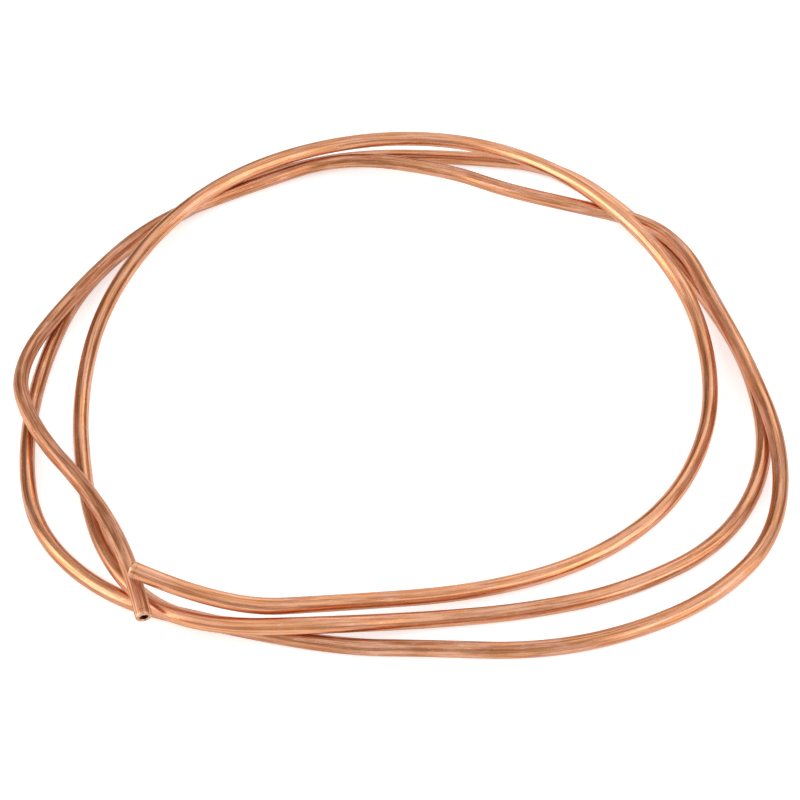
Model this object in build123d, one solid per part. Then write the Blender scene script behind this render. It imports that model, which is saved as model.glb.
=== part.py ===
"""A loose coil of soft copper tube: one length, three hand-bent turns, lying flat.

Millimetres, +Z up. The origin is on the ground, at the middle of the coil's plan.
The tube is one solid. Its centre line is straight runs joined by tangent arcs.
Each end is as a wheel cutter leaves it: the outer edge rounded, the lip rolled inwards.
"""
from math import radians, tan
import os

from build123d import *

TUBE_OD = 6.35           # outside diameter: quarter-inch tube
TUBE_WALL = 1.0          # wall thickness, so the bore is 4.35 mm
STRAND_GAP = 0.5         # clear height between a strand and the one it crosses
COIL_WIDTH = 307.0       # the route's greatest extent along X, corner to corner
COIL_DEPTH = 286.5       # the route's greatest extent along Y, corner to corner
LIP_LENGTH = 0.9         # length of the rolled-in lip at each cut end
LIP_SINK = 0.35          # how far the cutter pushes the rim in at the outside
LIP_BURR = 0.4           # how far the rolled lip stands into the bore

ARC_SHARE = 0.45         # share of the shorter run that an arc's tangent takes up

# The tube's route, corner by corner: x and y in mm, and the level it lies at.
# Level 0 is on the ground, level 1 on top of one other strand, level 2 on top of two.
# It starts at the upper end and runs anticlockwise, seen from above.
ROUTE = [
    # first turn: from the upper end, down to the ground, over the back of the coil
    (-94.5, -124, 3.4), (-61, -135, 2), (-19.5, -126.5, 1), (30.5, -117, 0.15),
    (73, -101.5, 0), (106.5, -73.5, 0), (125.5, -34, 0), (130, 4, 0.4),
    (123.5, 43.5, 1.15), (103, 80.5, 2), (71.5, 116.5, 2.1), (31, 137.5, 2),
    (-15.5, 138.5, 2), (-62.5, 119.5, 2), (-98, 83, 2), (-122, 35, 1.1),
    (-127.5, -15, 0.15), (-119.5, -66, 0), (-107.5, -103.5, 0.85),
    # second turn: over the third at the front, then flat on the ground
    (-87.5, -130, 1.1), (-61.5, -138.5, 1.1), (-26.5, -137.5, 1.1), (12.5, -129, 0),
    (48.5, -125, 0), (86, -115.5, 0), (125.5, -92, 0), (147.5, -50.5, 0),
    (147.5, 0, 0), (133.5, 46, 0), (109.5, 94, 0), (75, 135.5, 0),
    (30.5, 142, 0), (-21, 143, 0), (-63, 126, 0), (-101.5, 98, 0),
    (-134.5, 54.5, 0), (-145.5, 0, 0), (-145.5, -48, 0), (-135.5, -88, 0),
    # third turn: under the second at the front, over it from the right side on
    (-105.5, -118.5, 0), (-64.5, -131, 0), (-20, -141.5, 0), (13, -142, 0),
    (51, -143.5, 0), (84.5, -136, 0), (119, -118.5, 0), (145.5, -88.5, 0), (152.5, -48, 0.9),
    (143.5, 0.5, 1.15), (132.5, 41.5, 1), (126, 67.5, 1), (111, 88.5, 1), (71, 102, 1),
    (47.5, 111, 1), (24, 124, 1), (-23.5, 134.5, 1), (-64, 113, 1), (-105.5, 88, 1),
    (-133, 45.5, 1), (-154.5, -3.5, 1), (-142, -39, 1.05), (-114.5, -75, 1.25),
    # the last stretch climbs over the first turn and slopes down to the lower end
    (-96, -115.5, 2.6), (-89.5, -137.5, 1.85),
]


def corners():
    """Return the route's corners as vectors, at the coil's width, depth and strand height."""
    width = max(x for x, y, level in ROUTE) - min(x for x, y, level in ROUTE)
    depth = max(y for x, y, level in ROUTE) - min(y for x, y, level in ROUTE)
    pitch = TUBE_OD + STRAND_GAP
    places = []
    for x, y, level in ROUTE:
        height = TUBE_OD / 2 + level * pitch
        places.append(Vector(x * COIL_WIDTH / width, y * COIL_DEPTH / depth, height))
    return places


def bend_radii(places):
    """Return one radius for each inner corner, as large as its two runs allow."""
    radii = []
    for before, corner, after in zip(places, places[1:], places[2:]):
        run_in = corner - before
        run_out = after - corner
        turn = radians(run_in.get_angle(run_out))
        radii.append(ARC_SHARE * min(run_in.length, run_out.length) / tan(turn / 2))
    return radii


def centre_line(places):
    """Return the tube's centre line, without the two lips."""
    radii = bend_radii(places)
    print("bend radii, mm:", " ".join(f"{radius:.0f}" for radius in radii))
    return FilletPolyline(*places, radius=radii)


def lip(end, outward):
    """Return one cut end: a short ring, rounded outside and rolled in at the bore."""
    outer = TUBE_OD / 2
    bore = outer - TUBE_WALL
    rim = outer - LIP_SINK
    mouth = bore - LIP_BURR
    # the section lies in X (radius) and Z (length), and turns about the tube's axis
    with BuildPart() as ring:
        with BuildSketch(Plane.XZ):
            with BuildLine():
                Line((bore, 0), (outer, 0))
                crown = Spline((outer, 0), (rim, LIP_LENGTH), tangents=[(0, 1), (-1, 0.2)])
                Line(crown @ 1, (mouth, LIP_LENGTH))
                Spline((mouth, LIP_LENGTH), (bore, 0), tangents=[(0, -1), (0, -1)])
            make_face()
        revolve(axis=Axis.Z)
    return Plane(origin=end, z_dir=outward) * ring.part


def tube():
    """Return the whole tube: the swept wall and its two lips."""
    places = corners()
    first_way = (places[0] - places[1]).normalized()
    last_way = (places[-1] - places[-2]).normalized()
    places[0] -= first_way * LIP_LENGTH
    places[-1] -= last_way * LIP_LENGTH
    path = centre_line(places)
    start = Plane(origin=places[0], z_dir=-first_way)
    section = start * (Circle(TUBE_OD / 2) - Circle(TUBE_OD / 2 - TUBE_WALL))
    wall = sweep(section, path=path)
    print(f"tube length {path.length + 2 * LIP_LENGTH:.0f} mm")
    print(f"section x length {section.area * path.length:.0f}, solid {wall.volume:.0f} mm3")
    return wall + lip(places[0], first_way) + lip(places[-1], last_way)


os.makedirs("parts", exist_ok=True)
export_step(tube(), "parts/copper_tube.step")
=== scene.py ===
from math import cos, pi, radians, sin, tau

import bpy
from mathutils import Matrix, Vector


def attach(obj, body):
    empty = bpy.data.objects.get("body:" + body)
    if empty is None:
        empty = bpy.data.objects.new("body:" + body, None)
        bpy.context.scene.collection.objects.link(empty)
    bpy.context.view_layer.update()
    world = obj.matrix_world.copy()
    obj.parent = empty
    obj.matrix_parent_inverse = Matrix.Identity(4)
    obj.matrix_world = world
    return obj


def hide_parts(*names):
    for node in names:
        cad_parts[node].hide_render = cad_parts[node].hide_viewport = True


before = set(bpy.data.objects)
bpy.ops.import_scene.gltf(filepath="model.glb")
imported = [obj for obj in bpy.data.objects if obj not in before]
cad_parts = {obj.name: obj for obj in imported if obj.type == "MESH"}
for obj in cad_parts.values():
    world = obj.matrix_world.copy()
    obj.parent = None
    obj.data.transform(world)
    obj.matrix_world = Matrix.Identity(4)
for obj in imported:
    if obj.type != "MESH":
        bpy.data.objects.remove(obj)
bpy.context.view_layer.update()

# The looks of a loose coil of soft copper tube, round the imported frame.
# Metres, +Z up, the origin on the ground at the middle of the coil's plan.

# The tube, as in the CAD source
TUBE_OD = 0.00635
TUBE_WALL = 0.001
STRAND_GAP = 0.0005
OUTER_RADIUS = TUBE_OD / 2
BORE_RADIUS = OUTER_RADIUS - TUBE_WALL

# The cut ends: how long the rolled-in lip is, how far its rim sinks and its mouth closes, how
# ragged the burr is, and how far the lower end reaches past its last point
LIP_LENGTH = 0.0015
LIP_SINK = 0.0004
LIP_BURR = 0.0005
LIP_RAG = 0.00006
LOWER_END_REACH = 0.0005

# The route's points: x, y, and how many tubes deep the tube lies there, 0 on the ground.
ROUTE = [
    # first turn: from the upper end, down to the ground, over the back of the coil
    (-0.0945, -0.124, 3.4), (-0.061, -0.135, 2), (-0.0195, -0.1265, 1), (0.0305, -0.117, 0.15),
    (0.073, -0.1015, 0), (0.1065, -0.0735, 0), (0.1255, -0.034, 0), (0.13, 0.004, 0.4),
    (0.1235, 0.0435, 1.15), (0.103, 0.0805, 2), (0.0715, 0.1165, 2.1), (0.031, 0.1375, 2),
    (-0.0155, 0.1385, 2), (-0.0625, 0.1195, 2), (-0.098, 0.083, 2), (-0.122, 0.035, 1.1),
    (-0.1275, -0.015, 0.15), (-0.1195, -0.066, 0), (-0.1075, -0.1035, 0.85),
    # second turn: over the third at the front, then flat on the ground
    (-0.0875, -0.13, 1.1), (-0.0615, -0.1385, 1.1), (-0.0265, -0.1375, 1.1), (0.0125, -0.129, 0),
    (0.0485, -0.125, 0), (0.086, -0.1155, 0), (0.1255, -0.092, 0), (0.1475, -0.0505, 0),
    (0.1475, 0, 0), (0.1335, 0.046, 0), (0.1095, 0.094, 0), (0.075, 0.1355, 0),
    (0.0305, 0.142, 0), (-0.021, 0.143, 0), (-0.063, 0.126, 0), (-0.1015, 0.098, 0),
    (-0.1345, 0.0545, 0), (-0.1455, 0, 0), (-0.1455, -0.048, 0), (-0.1355, -0.088, 0),
    # third turn: under the second at the front, over it from the right side on
    (-0.1055, -0.1185, 0), (-0.0645, -0.131, 0), (-0.02, -0.1415, 0), (0.013, -0.142, 0),
    (0.051, -0.1435, 0), (0.0845, -0.136, 0), (0.119, -0.1185, 0), (0.1455, -0.0885, 0),
    (0.1525, -0.048, 0.9), (0.1435, 0.0005, 1.15), (0.1325, 0.0415, 1), (0.126, 0.0675, 1),
    (0.111, 0.0885, 1), (0.071, 0.102, 1), (0.0475, 0.111, 1), (0.024, 0.124, 1),
    (-0.0235, 0.1345, 1), (-0.064, 0.113, 1), (-0.1055, 0.088, 1),
    (-0.133, 0.0455, 1), (-0.1545, -0.0035, 1), (-0.142, -0.039, 1.05), (-0.1145, -0.075, 1.25),
    # the last stretch climbs over the first turn and slopes down to the lower end
    (-0.096, -0.1155, 2.6), (-0.0895, -0.1375, 1.85),
]

# Hand bending leaves the tube a little oval: (number of the route's point, width over height)
OVALITY = [
    (0, 0.98), (2, 0.96), (5, 0.98), (8, 1), (13, 1), (16, 0.98), (20, 1), (25, 0.98),
    (33, 1), (36, 0.95), (38, 0.94), (40, 1), (41, 0.96), (45, 0.97), (49, 1), (55, 0.98),
    (57, 0.94), (59, 0.93), (61, 0.99), (64, 0.98),
]

# The tube's mesh
STEPS_PER_POINT = 16      # rings from one point of the route to the next
SIDES = 40
LIP_RINGS = 6

# The studio: its general light, and its dim parts as azimuth (0 is +Y, 90 is +X) and elevation
# of the middle, half width in degrees, and how far the light there goes over to the dim one.
# A dim part is at its full depth out to PATCH_CORE of its half width.
STUDIO_LIGHT = (0.85, 0.85, 0.85)
STUDIO_DIM = (0.2, 0.14, 0.095)
DIM_PATCHES = [(-40, 20, 42, 0.93), (60, 8, 41, 0.87), (180, 2, 52, 0.55)]
PATCH_CORE = 0.6
BACKDROP = (1, 1, 1)

# The lamps: name, azimuth, elevation, distance, width, height and radiance
LAMP_COLOUR = (1, 0.98, 0.93)
LAMPS = [
    ("left_softbox", -107, 21, 3, 2.9, 2.6, 1.05),
    ("left_halo", -106, 20, 3.2, 4.4, 3.8, 0.25),
    ("right_softbox", 117, 20, 3, 2.5, 2.4, 0.8),
    ("back_window", 23, 38, 3, 1.4, 1.1, 0.65),
    ("right_halo", 118, 20, 3.2, 3.8, 3.6, 0.2),
]

# The floor: half its width, its colour as seen and as mirrored in the copper, and how much it
# glows to the camera, to the copper, and to copper that is itself seen in copper
FLOOR_HALF = 6
FLOOR_COLOUR = (0.9, 0.9, 0.9)
FLOOR_MIRRORED = (0.62, 0.62, 0.62)
GLOW_SEEN = 0.58
GLOW_MIRRORED = 0.42
GLOW_MIRRORED_TWICE = 0.14

# The camera
CAMERA_TARGET = Vector((0.0025, -0.015, 0.0032))
CAMERA_DISTANCE = 0.8531
CAMERA_ELEVATION = 45
CAMERA_LENS = 94.95
CAMERA_SENSOR = 36


def new_object(name, data):
    """Return a new object in the scene."""
    made = bpy.data.objects.new(name, data)
    bpy.context.scene.collection.objects.link(made)
    return made


def direction(azimuth, elevation):
    """Return the unit vector at an azimuth (0 is +Y, 90 is +X) and an elevation in degrees."""
    a = radians(azimuth)
    e = radians(elevation)
    return Vector((sin(a) * cos(e), cos(a) * cos(e), sin(e)))


# ---------------------------------------------------------------- the tube's mesh

def route_places():
    """Return the route's points in metres."""
    layer = TUBE_OD + STRAND_GAP
    places = [Vector((x, y, OUTER_RADIUS + level * layer)) for x, y, level in ROUTE]
    places[-1] += (places[-1] - places[-2]).normalized() * LOWER_END_REACH
    return places


def centre_points():
    """Return points close together on the smooth curve that the route's points steer."""
    curve = bpy.data.curves.new("route", "CURVE")
    curve.dimensions = "3D"
    spline = curve.splines.new("NURBS")
    spline.points.add(len(ROUTE) - 1)
    for point, place in zip(spline.points, route_places()):
        point.co = (*place, 1)
    spline.order_u = 3
    spline.use_endpoint_u = True
    spline.resolution_u = STEPS_PER_POINT
    holder = new_object("route", curve)
    bpy.context.view_layer.update()
    line = bpy.data.meshes.new_from_object(holder)
    points = [vertex.co.copy() for vertex in line.vertices]
    bpy.data.objects.remove(holder)
    bpy.data.meshes.remove(line)
    return points


def trimmed(points, length):
    """Return the line without its first stretch of that length."""
    left = length
    for index in range(len(points) - 1):
        step = points[index + 1] - points[index]
        if step.length > left:
            return [points[index] + step.normalized() * left] + points[index + 1:]
        left -= step.length
    raise ValueError("the line is shorter than the stretch to trim")


def width_at(share):
    """Return the tube's width over its height, at a share of the way along the route's points."""
    number = share * (len(ROUTE) - 1)
    for (first, before), (last, after) in zip(OVALITY, OVALITY[1:]):
        if number <= last:
            return before + (after - before) * max(number - first, 0) / (last - first)
    return OVALITY[-1][1]


def lip_profile():
    """Return the cut end's section as (radius, distance past the plain tube), from outside to bore."""
    rim = OUTER_RADIUS - LIP_SINK
    mouth = BORE_RADIUS - LIP_BURR
    crown = []
    for step in range(1, LIP_RINGS + 1):
        turn = pi / 2 * step / LIP_RINGS
        crown.append((rim + (OUTER_RADIUS - rim) * cos(turn), LIP_LENGTH * sin(turn)))
    roll = [(rim - (rim - mouth) * share, LIP_LENGTH) for share in (0.35, 0.7)]
    roll.append((mouth + 0.08 * TUBE_WALL, LIP_LENGTH * 0.98))
    roll.append((mouth, LIP_LENGTH * 0.88))
    roll.append((mouth + 0.25 * LIP_BURR, LIP_LENGTH * 0.55))
    roll.append((BORE_RADIUS - 0.25 * LIP_BURR, LIP_LENGTH * 0.2))
    roll.append((BORE_RADIUS, -LIP_LENGTH * 0.3))
    return crown + roll


def burr(angle):
    """Return how far the ragged burr reaches out or in at an angle round the mouth."""
    return LIP_RAG * (sin(3 * angle + 1) + 0.7 * sin(7 * angle) + 0.5 * sin(13 * angle + 2))


class CentreLine:
    """The plain tube's centre line, with the tube's facts at each of its points."""

    def __init__(self, points):
        numbers = range(len(points))
        last = numbers[-1]
        self.points = points
        self.tangents = [
            (points[min(number + 1, last)] - points[max(number - 1, 0)]).normalized()
            for number in numbers
        ]
        self.widths = [width_at(number / last) for number in numbers]
        self.along = [0.0]
        for before, after in zip(points, points[1:]):
            self.along.append(self.along[-1] + (after - before).length)
        self.length = self.along[-1]
        self.to_end = [min(along, self.length - along) + LIP_LENGTH for along in self.along]


class Tube:
    """Vertices and faces of a tube, ring by ring, with each vertex's place on the tube."""

    def __init__(self, line):
        self.line = line
        self.vertices = []
        self.faces = []
        self.places = []
        self.to_end = []

    def ring(self, number, radius, past=0.0):
        """Add a ring of vertices at a point of the line, or past its end, and return their numbers."""
        line = self.line
        tangent = line.tangents[number]
        outward = tangent if number else -tangent
        centre = line.points[number] + outward * past
        along = line.along[number] + (past if number else -past)
        across = tangent.cross(Vector((0, 0, 1))).normalized()
        up = across.cross(tangent).normalized()
        first = len(self.vertices)
        for side in range(SIDES):
            angle = tau * side / SIDES
            reach = radius + burr(angle) if radius < BORE_RADIUS else radius
            spoke = across * cos(angle) * line.widths[number] + up * sin(angle)
            self.vertices.append(centre + spoke * reach)
            self.places.append((radius * cos(angle), radius * sin(angle), along))
            self.to_end.append(line.to_end[number] - past)
        return list(range(first, first + SIDES))

    def skin(self, rings, reverse=False):
        """Join each ring to the next with quads."""
        for before, after in zip(rings, rings[1:]):
            ring_a, ring_b = (after, before) if reverse else (before, after)
            for side in range(SIDES):
                beside = (side + 1) % SIDES
                self.faces.append((ring_a[side], ring_b[side], ring_b[beside], ring_a[beside]))

    def wall(self, radius, reverse=False):
        """Add a wall from end to end and return its rings."""
        rings = [self.ring(number, radius) for number in range(len(self.line.points))]
        self.skin(rings, reverse)
        return rings

    def lip(self, number, outer, inner):
        """Close one end between its outer and its inner ring with a rolled-in lip."""
        rings = [self.ring(number, radius, past) for radius, past in lip_profile()]
        self.skin([outer, *rings, inner], reverse=number == 0)


def build_tube():
    """Return the tube's object: outer skin, bore and two rolled-in lips."""
    points = trimmed(centre_points(), LIP_LENGTH)
    points = trimmed(points[::-1], LIP_LENGTH)[::-1]
    line = CentreLine(points)
    tube = Tube(line)
    outer = tube.wall(OUTER_RADIUS)
    inner = tube.wall(BORE_RADIUS, reverse=True)
    for number in (0, len(points) - 1):
        tube.lip(number, outer[number], inner[number])
    mesh = bpy.data.meshes.new("soft_copper_tube")
    mesh.from_pydata([tuple(vertex) for vertex in tube.vertices], [], tube.faces)
    place = mesh.attributes.new("tube_place", "FLOAT_VECTOR", "POINT")
    place.data.foreach_set("vector", [value for triple in tube.places for value in triple])
    to_end = mesh.attributes.new("tube_to_end", "FLOAT", "POINT")
    to_end.data.foreach_set("value", tube.to_end)
    mesh.polygons.foreach_set("use_smooth", [True] * len(mesh.polygons))
    mesh.validate()
    mesh.update()
    print("tube: length", round(line.length + 2 * LIP_LENGTH, 4), "m,", len(mesh.polygons) * 2, "triangles")
    return new_object("soft_copper_tube", mesh)


# ---------------------------------------------------------------- materials

class Nodes:
    """A small helper for a node tree."""

    def __init__(self, tree):
        self.tree = tree
        self.tree.nodes.clear()

    def add(self, kind, **settings):
        """Add a node, and set its properties and sockets by name."""
        node = self.tree.nodes.new(kind)
        for key, value in settings.items():
            if hasattr(node, key):
                setattr(node, key, value)
            else:
                node.inputs[key.replace("_", " ")].default_value = value
        return node

    def link(self, source, target):
        """Link an output to an input."""
        self.tree.links.new(source, target)

    def math(self, operation, first, second, clamp=False):
        """Join two values, sockets or numbers, by a Math node and return its output."""
        node = self.add("ShaderNodeMath", operation=operation, use_clamp=clamp)
        for socket, value in zip(node.inputs, (first, second)):
            if isinstance(value, (int, float)):
                socket.default_value = value
            else:
                self.link(value, socket)
        return node.outputs[0]

    def noise(self, place, pattern):
        """Return a noise value in one of the patterns below."""
        scales, detail, roughness = pattern
        stretch = self.add("ShaderNodeVectorMath", operation="MULTIPLY")
        stretch.inputs[1].default_value = scales
        self.link(place, stretch.inputs[0])
        noise = self.add("ShaderNodeTexNoise", Scale=1.0, Detail=detail, Roughness=roughness)
        self.link(stretch.outputs[0], noise.inputs["Vector"])
        return noise.outputs["Fac"]

    def ramp(self, value, low, high, out_low=0.0, out_high=1.0):
        """Return the value moved from one range to another, clamped, with soft ends."""
        node = self.add("ShaderNodeMapRange", interpolation_type="SMOOTHSTEP")
        names = ("From Min", "From Max", "To Min", "To Max")
        for name, number in zip(names, (low, high, out_low, out_high)):
            node.inputs[name].default_value = number
        self.link(value, node.inputs["Value"])
        return node.outputs["Result"]

    def keyed(self, value, keys):
        """Return a grey that runs through keys, each a position and a level."""
        node = self.add("ShaderNodeValToRGB")
        stops = node.color_ramp.elements
        while len(stops) < len(keys):
            stops.new(0.5)
        for stop, (position, level) in zip(stops, keys):
            stop.position = position
            stop.color = (level, level, level, 1)
        self.link(value, node.inputs["Fac"])
        return node.outputs["Color"]

    def mix(self, share, first, second):
        """Return a colour between two, each a socket or a triple."""
        node = self.add("ShaderNodeMix", data_type="RGBA")
        self.link(share, node.inputs["Factor"])
        sockets = [socket for socket in node.inputs if socket.type == "RGBA"]
        for socket, value in zip(sockets, (first, second)):
            if isinstance(value, tuple):
                socket.default_value = (*value, 1)
            else:
                self.link(value, socket)
        return [socket for socket in node.outputs if socket.type == "RGBA"][0]


# How tarnished and how matt the tube is along its length, with painted shade in the tarnish level
# where a stretch lies in other strands' shadow, as (share of it from the upper end, level) pairs
TUBE_LENGTH = 2.685
WEAR_AND_SHADE = [
    (0, 0.3), (0.05, 0.2), (0.1, 0.05), (0.15, 0), (0.19, 0.1), (0.25, 0), (0.34, 0),
    (0.39, 0.45), (0.42, 0.55), (0.445, 0), (0.465, 0), (0.485, 0.15), (0.52, 0.45),
    (0.585, 0.9), (0.62, 0.6), (0.655, 0.6), (0.687, 0.9), (0.72, 0.5), (0.755, 0.1),
    (0.79, 0), (0.82, 0.6), (0.855, 0.8), (0.89, 1), (0.92, 0.7), (0.96, 0.75), (1, 0.7),
]
MATT = [
    (0, 0.2), (0.08, 0.25), (0.12, 0.4), (0.16, 0.1), (0.27, 0.1), (0.29, 0.6), (0.31, 0.6),
    (0.33, 0.1), (0.36, 0.1), (0.39, 0.55), (0.43, 0.5), (0.46, 0.4), (0.48, 0.1), (0.63, 0.1),
    (0.68, 0.25), (0.75, 0.3), (0.77, 0.6), (0.82, 0.6), (0.84, 0.1), (0.9, 0.3), (0.925, 1),
    (1, 1),
]

# Noise patterns on the tube: how many to the metre across, across and along, detail, roughness
DRAW_LINES = ((1300, 1300, 9), 4.0, 0.6)
HAIR_LINES = ((3600, 3600, 45), 3.0, 0.6)
SHORT_STREAKS = ((1350, 1350, 45), 3.0, 0.6)
MOTTLE = ((260, 260, 60), 5.0, 0.6)
CLOUDS = ((90, 90, 9), 3.0, 0.5)
GRAIN = ((1900, 1900, 900), 3.0, 0.7)
# the spots of painted glints
GLINT_SPOTS = ((1500, 1500, 350), 3.0, 0.7)
DENTS = ((260, 260, 26), 2.0, 0.5)

COPPER = (0.93, 0.415, 0.2)
# brown of the tarnish, also used for painted shade on stretches under other strands
BROWN_TARNISH_AND_SHADE = (0.49, 0.19, 0.078)
PINK_BLOOM = (0.95, 0.54, 0.39)
DARK_SPECK = (0.35, 0.12, 0.05)
DARK_STREAK = (0.4, 0.13, 0.06)
PALE_STREAK = (1, 0.52, 0.31)
# pale of the rolled lips, also used for painted glints
PALE_RIM_AND_GLINT = (0.98, 0.68, 0.5)
# painted shade: the dark brown of the crevices between strands
CREVICE_SHADE = (0.36, 0.15, 0.07)

METALLIC = 0.97
METALLIC_LOST_IN_TARNISH = 0.12
ROUGHNESS = 0.12
BUMP_DISTANCE = 0.0001
CUTTER_LINE = 0.0021      # from the end of the tube to the dark line that the cutter leaves
SHADE_REACH = 0.007       # how far off a strand still casts painted shade on its neighbour


def tarnish_and_shade_level(n, place, wear_and_shade, lines, mottle):
    """Return how tarnished the copper is, with painted shade: its wear and shade along the length, broken
    up by clouds, mottle and draw lines.
    """
    cloud = n.noise(place, CLOUDS)
    patch = n.math("ADD", n.math("MULTIPLY", cloud, 0.5), n.math("MULTIPLY", mottle, 0.4))
    streak = n.ramp(lines, 0.38, 0.62)
    patch = n.math("ADD", patch, n.math("MULTIPLY", streak, 0.5))
    patch = n.math("SUBTRACT", patch, 0.7)
    return n.math("ADD", wear_and_shade, n.math("MULTIPLY", patch, 1.6), clamp=True)


def with_cutter_marks(n, colour):
    """Return the colour with a pale rolled lip and a dark line behind it at each end."""
    to_end = n.add("ShaderNodeAttribute", attribute_name="tube_to_end").outputs["Fac"]
    lip = n.ramp(to_end, 0.0004, 0.0013, 0.45, 0.0)
    colour = n.mix(lip, colour, PALE_RIM_AND_GLINT)
    groove = n.math("ABSOLUTE", n.math("SUBTRACT", to_end, CUTTER_LINE), 0.0)
    groove = n.ramp(groove, 0.0001, 0.0003, 0.5, 0.0)
    return n.mix(groove, colour, DARK_SPECK)


def with_streaks(n, colour, place, matt):
    """Return the colour with short dark and pale streaks, strongest in the matt stretches."""
    streaks = n.noise(place, SHORT_STREAKS)
    amount = n.math("ADD", n.math("MULTIPLY", matt, 0.3), 0.4)
    dark = n.math("MULTIPLY", n.ramp(streaks, 0.48, 0.62), amount)
    pale = n.math("MULTIPLY", n.ramp(streaks, 0.38, 0.52, 1.0, 0.0), amount)
    colour = n.mix(dark, colour, DARK_STREAK)
    return n.mix(pale, colour, PALE_STREAK)


def with_painted_crevice_shade(n, colour):
    """Return the colour with painted shade, darker where strands lie against one another."""
    nearness = n.add("ShaderNodeAmbientOcclusion", only_local=True, samples=8, Distance=SHADE_REACH)
    # painted shade, darkest where another strand is nearest
    painted_shade = n.ramp(nearness.outputs["AO"], 0.1, 0.45, 0.3, 0.0)
    return n.mix(painted_shade, colour, CREVICE_SHADE)


def copper_bump(n, place, lines, hair, grain):
    """Return the normal with draw lines, hair lines, grain and faint dents."""
    dents = n.noise(place, DENTS)
    height = n.math("ADD", n.math("MULTIPLY", lines, 0.6), n.math("MULTIPLY", hair, 0.16))
    height = n.math("ADD", height, n.math("MULTIPLY", grain, 0.12))
    height = n.math("ADD", height, n.math("MULTIPLY", dents, 4.0))
    bump = n.add("ShaderNodeBump", Strength=1.0, Distance=BUMP_DISTANCE)
    n.link(height, bump.inputs["Height"])
    return bump.outputs["Normal"]


def copper_material():
    """Soft copper with draw lines, brown tarnish with painted shade, a pink bloom, streaks, specks, painted
    glints and painted shade between strands.
    """
    material = bpy.data.materials.new("soft_copper")
    material.use_nodes = True
    n = Nodes(material.node_tree)
    output = n.add("ShaderNodeOutputMaterial")
    metal = n.add("ShaderNodeBsdfPrincipled")
    place = n.add("ShaderNodeAttribute", attribute_name="tube_place").outputs["Vector"]
    split = n.add("ShaderNodeSeparateXYZ")
    n.link(place, split.inputs[0])
    share = n.math("MULTIPLY", split.outputs["Z"], 1 / TUBE_LENGTH)
    wear_and_shade = n.keyed(share, WEAR_AND_SHADE)
    matt = n.keyed(share, MATT)
    lines = n.noise(place, DRAW_LINES)
    hair = n.noise(place, HAIR_LINES)
    mottle = n.noise(place, MOTTLE)
    grain = n.noise(place, GRAIN)
    tarnish_and_shade = tarnish_and_shade_level(n, place, wear_and_shade, lines, mottle)
    bloom = n.ramp(n.math("ADD", mottle, n.math("MULTIPLY", hair, 0.7)), 0.8, 1.0, 0.0, 0.65)
    speck = n.ramp(grain, 0.6, 0.7)
    # painted glints: small pale spots standing for sparkles of light
    painted_glint = n.ramp(n.noise(place, GLINT_SPOTS), 0.6, 0.7)

    # tarnish, with painted shade mixed in where a stretch lies under other strands
    colour = n.mix(tarnish_and_shade, COPPER, BROWN_TARNISH_AND_SHADE)
    colour = n.mix(bloom, colour, PINK_BLOOM)
    colour = n.mix(n.math("MULTIPLY", speck, 0.6), colour, DARK_SPECK)
    colour = n.mix(n.math("MULTIPLY", painted_glint, 0.7), colour, PALE_RIM_AND_GLINT)
    colour = with_cutter_marks(n, colour)
    colour = with_streaks(n, colour, place, matt)
    n.link(with_painted_crevice_shade(n, colour), metal.inputs["Base Color"])

    # tarnish is an oxide, so it is less metallic; the painted shade in the same level lowers it too
    lost = n.math("MULTIPLY", tarnish_and_shade, METALLIC_LOST_IN_TARNISH)
    n.link(n.math("SUBTRACT", METALLIC, lost), metal.inputs["Metallic"])

    # satin, and duller in the matt stretches, the bloom, the specks and the hair lines
    dull = n.math("ADD", n.math("MULTIPLY", matt, 0.25), n.math("MULTIPLY", bloom, 0.12))
    dull = n.math("ADD", dull, n.math("MULTIPLY", speck, 0.2))
    dull = n.math("ADD", dull, n.ramp(hair, 0.35, 0.7, 0.0, 0.08))
    n.link(n.math("ADD", dull, ROUGHNESS), metal.inputs["Roughness"])

    n.link(copper_bump(n, place, lines, hair, grain), metal.inputs["Normal"])
    n.link(metal.outputs["BSDF"], output.inputs["Surface"])
    return material


# ---------------------------------------------------------------- light, floor and camera

def build_world():
    """Set a pale studio, dimmer behind the coil on both sides and towards the camera."""
    world = bpy.data.worlds.new("studio")
    bpy.context.scene.world = world
    world.use_nodes = True
    n = Nodes(world.node_tree)
    output = n.add("ShaderNodeOutputWorld")
    background = n.add("ShaderNodeBackground")
    way = n.add("ShaderNodeTexCoord").outputs["Generated"]
    dimness = 0.0
    for azimuth, elevation, reach, depth in DIM_PATCHES:
        facing = n.add("ShaderNodeVectorMath", operation="DOT_PRODUCT")
        facing.inputs[1].default_value = direction(azimuth, elevation)
        n.link(way, facing.inputs[0])
        rim = cos(radians(reach))
        core = cos(radians(reach * PATCH_CORE))
        patch = n.ramp(facing.outputs["Value"], rim, core, 0.0, depth)
        dimness = n.math("ADD", dimness, patch)
    studio = n.mix(dimness, STUDIO_LIGHT, STUDIO_DIM)
    # the camera sees a plain white backdrop
    path = n.add("ShaderNodeLightPath")
    seen = n.mix(path.outputs["Is Camera Ray"], studio, BACKDROP)
    n.link(seen, background.inputs["Color"])
    n.link(background.outputs[0], output.inputs["Surface"])


def softbox(name, azimuth, elevation, distance, width, height, radiance):
    """Add a rectangular lamp aimed at the coil."""
    lamp = bpy.data.lights.new(name, "AREA")
    lamp.shape = "RECTANGLE"
    lamp.size = width
    lamp.size_y = height
    lamp.energy = radiance * pi * width * height
    lamp.color = LAMP_COLOUR
    holder = new_object(name, lamp)
    way = direction(azimuth, elevation)
    holder.location = way * distance
    holder.rotation_euler = way.to_track_quat("Z", "Y").to_euler()


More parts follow.
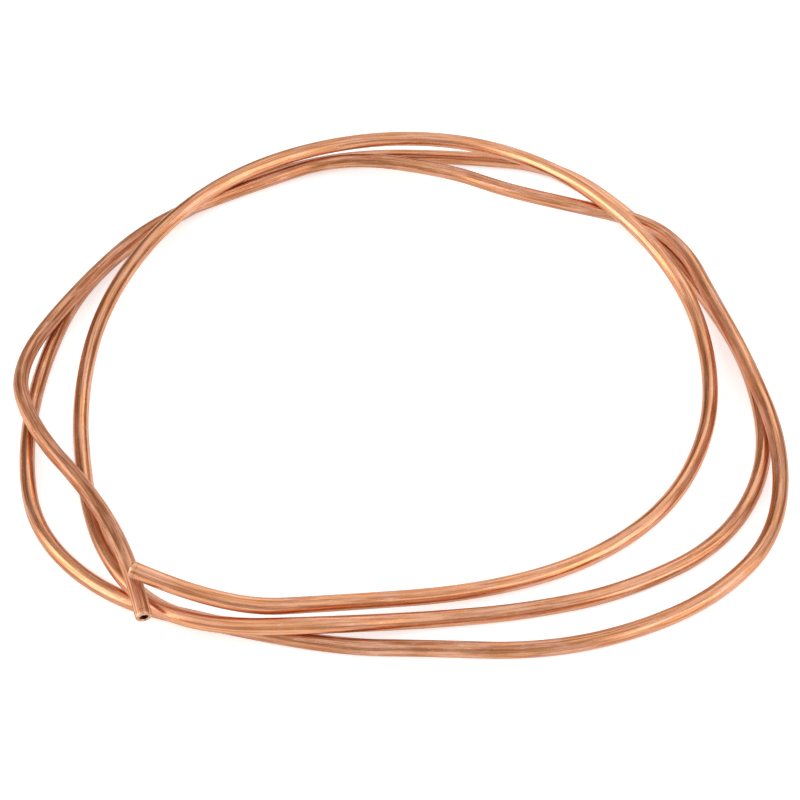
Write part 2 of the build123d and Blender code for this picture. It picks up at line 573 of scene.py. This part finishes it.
def build_floor():
    """Add a wide pale floor that takes the coil's shadow."""
    mesh = bpy.data.meshes.new("floor")
    corners = [(-1, -1), (1, -1), (1, 1), (-1, 1)]
    mesh.from_pydata([(x * FLOOR_HALF, y * FLOOR_HALF, 0) for x, y in corners], [], [(0, 1, 2, 3)])
    floor = new_object("floor", mesh)
    material = bpy.data.materials.new("pale_floor")
    material.use_nodes = True
    n = Nodes(material.node_tree)
    output = n.add("ShaderNodeOutputMaterial")
    matt = n.add("ShaderNodeBsdfDiffuse")
    glow = n.add("ShaderNodeEmission")
    path = n.add("ShaderNodeLightPath")
    in_copper = path.outputs["Is Glossy Ray"]
    n.link(n.mix(in_copper, FLOOR_COLOUR, FLOOR_MIRRORED), matt.inputs["Color"])
    # what copper sees by way of other copper is dimmer, or it looks too red
    first_mirror = n.math("LESS_THAN", path.outputs["Ray Depth"], 1.5)
    more = n.math("MULTIPLY", first_mirror, GLOW_MIRRORED - GLOW_MIRRORED_TWICE)
    mirrored = n.math("ADD", GLOW_MIRRORED_TWICE, more)
    lift = n.math("MULTIPLY", path.outputs["Is Camera Ray"], GLOW_SEEN)
    lift = n.math("ADD", lift, n.math("MULTIPLY", in_copper, mirrored))
    both = n.add("ShaderNodeAddShader")
    n.link(lift, glow.inputs["Strength"])
    n.link(matt.outputs["BSDF"], both.inputs[0])
    n.link(glow.outputs[0], both.inputs[1])
    n.link(both.outputs[0], output.inputs["Surface"])
    mesh.materials.append(material)


def build_camera():
    """Add the photograph's viewpoint: square on to the coil's front, looking down."""
    data = bpy.data.cameras.new("camera")
    data.lens = CAMERA_LENS
    data.sensor_width = CAMERA_SENSOR
    data.clip_start = 0.01
    camera = new_object("camera", data)
    e = radians(CAMERA_ELEVATION)
    camera.location = CAMERA_TARGET + Vector((0, -cos(e), sin(e))) * CAMERA_DISTANCE
    camera.rotation_euler = (pi / 2 - e, 0, 0)
    bpy.context.scene.camera = camera


tube = build_tube()
tube.data.materials.append(copper_material())
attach(tube, "root")
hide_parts("copper_tube")

build_world()
for lamp in LAMPS:
    softbox(*lamp)
build_floor()
build_camera()
bpy.context.scene.view_settings.view_transform = "Standard"
